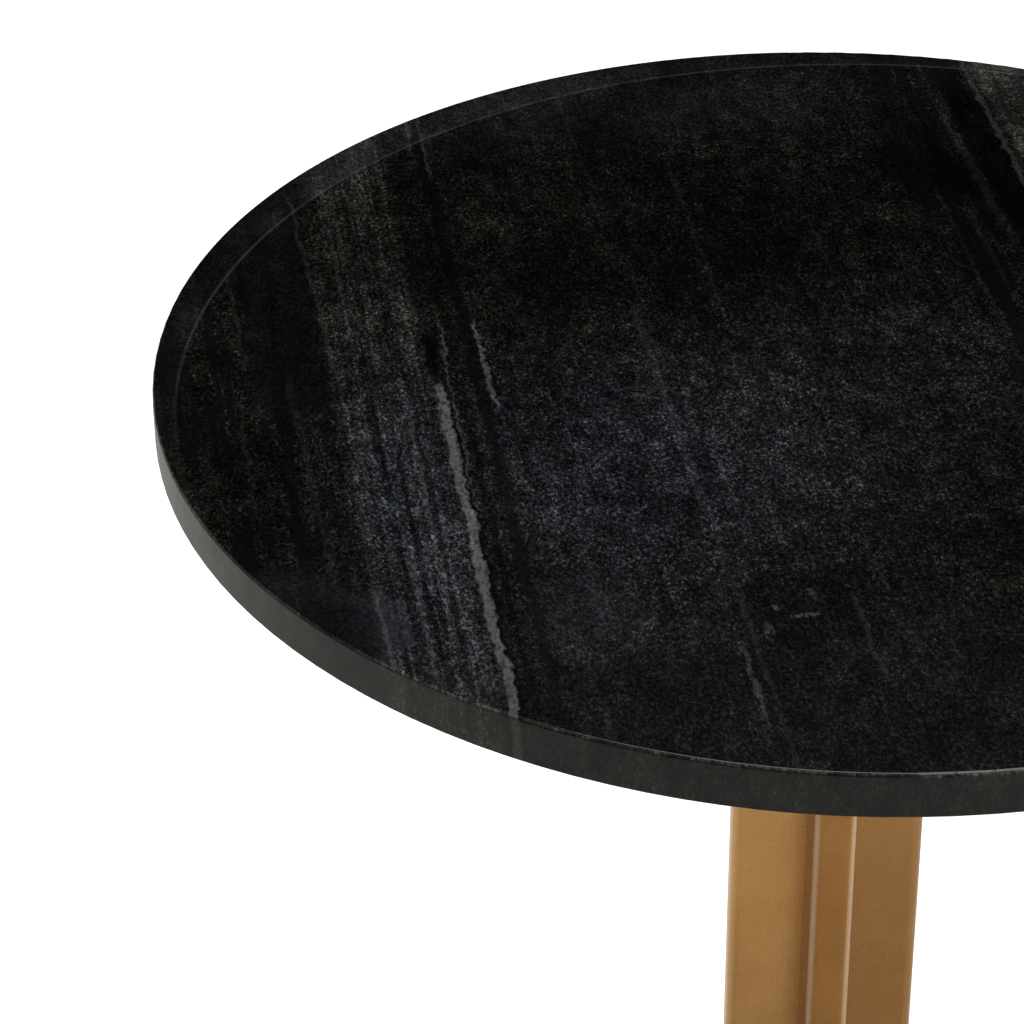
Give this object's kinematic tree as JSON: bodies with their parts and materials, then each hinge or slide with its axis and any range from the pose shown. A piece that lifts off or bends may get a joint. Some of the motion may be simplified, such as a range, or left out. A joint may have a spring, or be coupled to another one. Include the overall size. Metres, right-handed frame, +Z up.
{
  "type": "round pedestal table",
  "caption": "Round side table: a veined black stone disc on a plus-section column of brass-plated steel fins, on a flat round base plate with rubber pads.",
  "frame": {"origin": "on the floor, in the middle of the base, under the column's axis", "axes": "+Z up along the column's axis; the front fin stands towards -Y and the right fin towards +X"},
  "size_m": [0.4499, 0.45, 0.55],
  "materials": {
    "black_marble": "polished face with a satin rim, off-white and grey veins all one way",
    "brass_plating": "steel with a fine-brushed brass-tone plating",
    "insert_brass": "turned, bright",
    "zinc_steel": "zinc plated",
    "raw_steel": "sawn and drilled bar",
    "soft_foam": "closed-cell foam, matt",
    "pad_rubber": "moulded, matt"
  },
  "bodies": {
    "root": {"marble_top": "black_marble", "top_inserts": "insert_brass", "plate_gasket": "soft_foam", "top_plate": "brass_plating", "top_flat_washers": "zinc_steel", "top_spring_washers": "zinc_steel", "top_screws": "zinc_steel", "column_core": "brass_plating", "right_fin": "brass_plating", "back_fin": "brass_plating", "left_fin": "brass_plating", "front_fin": "brass_plating", "fin_plugs": "raw_steel", "base_plate": "brass_plating", "base_screws": "zinc_steel", "base_pads": "pad_rubber"}
  },
  "joints": []
}
